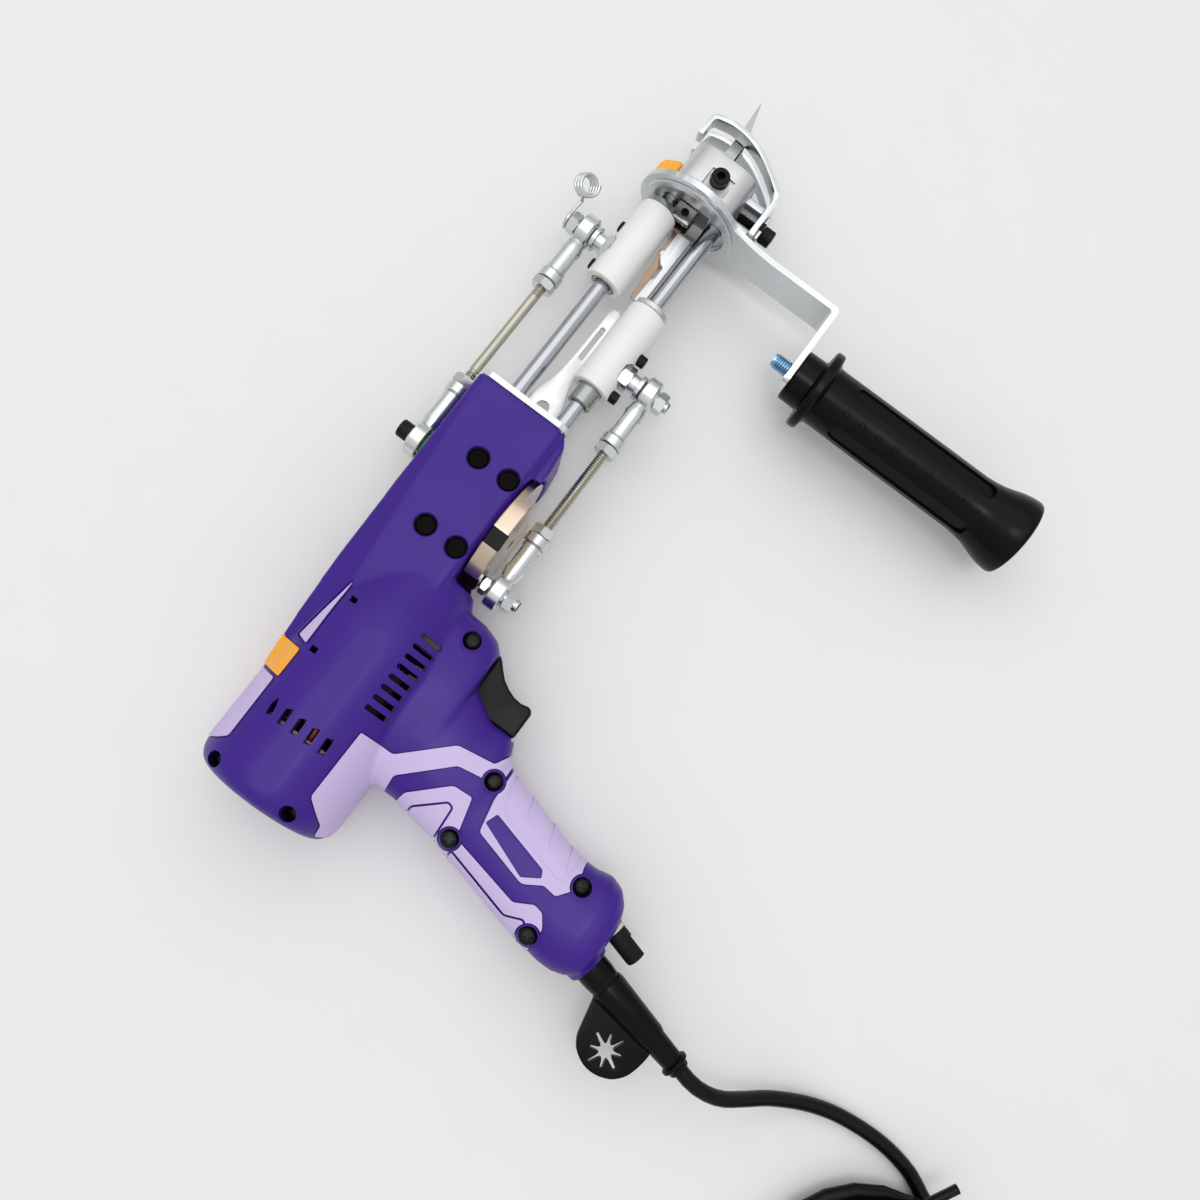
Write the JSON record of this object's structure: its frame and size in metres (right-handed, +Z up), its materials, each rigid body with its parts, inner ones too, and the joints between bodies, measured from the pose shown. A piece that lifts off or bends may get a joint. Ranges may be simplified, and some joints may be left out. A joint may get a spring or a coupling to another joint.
{
  "type": "handheld tufting machine",
  "caption": "Electric handheld tufting machine: a crank drives a needle and scissors along guide rods; pistol grip, front grip, presser foot and mains lead.",
  "frame": {"origin": "middle of the motor barrel's flat side, where the machine lies on the table", "axes": "+X along the guide rods towards the needle, +Y towards the machine's top and away from its pistol grip, +Z up from the table"},
  "size_m": [0.4934, 0.4699, 0.0668],
  "materials": {
    "purple_housing": "fine spark-eroded texture, with soft lilac and orange panels moulded on",
    "black_plastic": "satin",
    "black_rubber": "matte",
    "black_oxide": "black oxide, lightly oiled",
    "cast_aluminium": "machined and bead-blasted",
    "zinc_plate": "bright zinc plating",
    "blue_zinc": "blue passivated zinc plating",
    "chromed_steel": "ground and chromed",
    "bright_steel": "turned, lightly oiled",
    "spring_steel": "ground",
    "white_sleeve": "turned, satin",
    "copper_winding": "enamelled wire",
    "pale_nylon": "as moulded",
    "orange_plastic": "satin"
  },
  "bodies": {
    "housing": {"right_housing": "purple_housing", "left_housing": "purple_housing", "case_screw_1": "black_oxide", "case_screw_2": "black_oxide", "case_screw_3": "black_oxide", "case_screw_4": "black_oxide", "case_screw_5": "black_oxide", "gear_block": "cast_aluminium", "upper_guide_rod": "chromed_steel", "lower_guide_rod": "chromed_steel", "motor_stator": "bright_steel", "front_motor_bearing": "chromed_steel", "rear_motor_bearing": "chromed_steel", "brush_holder": "black_plastic", "upper_shaft_bearing": "chromed_steel", "lower_shaft_bearing": "chromed_steel", "centre_plate": "cast_aluminium", "handle_bracket": "zinc_plate", "head_block": "cast_aluminium", "foot_bolt": "black_oxide", "yarn_guide": "orange_plastic", "front_grip": "black_rubber", "handle_stud": "blue_zinc", "trigger_switch": "black_plastic", "speed_control": "pale_nylon", "cord_guard": "black_rubber", "key_holder": "black_rubber", "mains_lead": "black_rubber", "lead_coil": "black_rubber", "plug": "black_rubber"},
    "armature": {"motor_armature": "copper_winding", "motor_fan": "pale_nylon"},
    "crank": {"crown_gear": "spring_steel", "cross_shaft": "chromed_steel", "upper_crank": "bright_steel", "lower_crank": "bright_steel"},
    "needle_slider": {"upper_slider": "white_sleeve", "upper_slider_bush": "bright_steel", "upper_pivot_bolt": "zinc_plate", "yarn_eyelet": "zinc_plate", "needle": "spring_steel", "needle_carrier": "spring_steel"},
    "scissor_slider": {"lower_slider": "white_sleeve", "lower_slider_bush": "bright_steel", "lower_pivot_bolt": "zinc_plate", "scissor_carrier": "cast_aluminium", "fixed_blade": "spring_steel", "blade_pivot_screw": "zinc_plate"},
    "scissor_blade": {"moving_blade": "spring_steel"},
    "upper_rod": {"upper_crank_rod_end": "zinc_plate", "upper_slider_rod_end": "zinc_plate", "upper_rod_stud": "zinc_plate", "upper_crank_bolt": "zinc_plate"},
    "lower_rod": {"lower_crank_rod_end": "zinc_plate", "lower_slider_rod_end": "zinc_plate", "lower_rod_stud": "zinc_plate", "lower_crank_bolt": "zinc_plate"},
    "foot": {"presser_foot": "zinc_plate"},
    "trigger": {"trigger": "black_plastic"},
    "knob": {"speed_knob": "black_plastic"}
  },
  "joints": [
    {"name": "crank_spin", "type": "hinge", "parent": "housing", "child": "crank", "pos_m": [0.1113, 0.00975, 0.0334], "axis": [0, 1, 0], "range_deg": [0, 180]},
    {"name": "motor_spin", "type": "hinge", "parent": "housing", "child": "armature", "pos_m": [0.035, 0, 0.0334], "axis": [1, 0, 0], "range_deg": [0, 1261]},
    {"name": "needle_slide", "type": "slide", "parent": "housing", "child": "needle_slider", "axis": [1, 0, 0], "range_m": [-0.0269, 0]},
    {"name": "scissor_slide", "type": "slide", "parent": "housing", "child": "scissor_slider", "axis": [1, 0, 0], "range_m": [0, 0.0427]},
    {"name": "blade_swing", "type": "hinge", "parent": "scissor_slider", "child": "scissor_blade", "pos_m": [0.269, 0.00855, 0.0334], "axis": [0, 0, 1], "range_deg": [-4, 0]},
    {"name": "upper_rod_swing", "type": "hinge", "parent": "needle_slider", "child": "upper_rod", "pos_m": [0.2552, 0.04455, 0.0334], "axis": [0, 1, 0], "range_deg": [-6, 6]},
    {"name": "lower_rod_swing", "type": "hinge", "parent": "scissor_slider", "child": "lower_rod", "pos_m": [0.208, -0.02685, 0.0334], "axis": [0, 1, 0], "range_deg": [-10.5, 10.5]},
    {"name": "trigger_pull", "type": "slide", "parent": "housing", "child": "trigger", "axis": [-1, 0, 0], "range_m": [0, 0.006], "stiffness_N_per_m": 500, "springref_m": -0.003},
    {"name": "foot_slide", "type": "slide", "parent": "housing", "child": "foot", "axis": [1, 0, 0], "range_m": [-0.002, 0.006]},
    {"name": "knob_turn", "type": "hinge", "parent": "housing", "child": "knob", "pos_m": [0.0012, -0.15665, 0.0334], "axis": [-0.2588, -0.9659, 0], "range_deg": [0, 280]}
  ],
  "couplings": [
    {"joint": "needle_slide", "follows": "crank_spin", "m_per_rad": -0.0085308},
    {"joint": "scissor_slide", "follows": "crank_spin", "m_per_rad": 0.01356},
    {"joint": "motor_spin", "follows": "crank_spin", "ratio": 7}
  ]
}
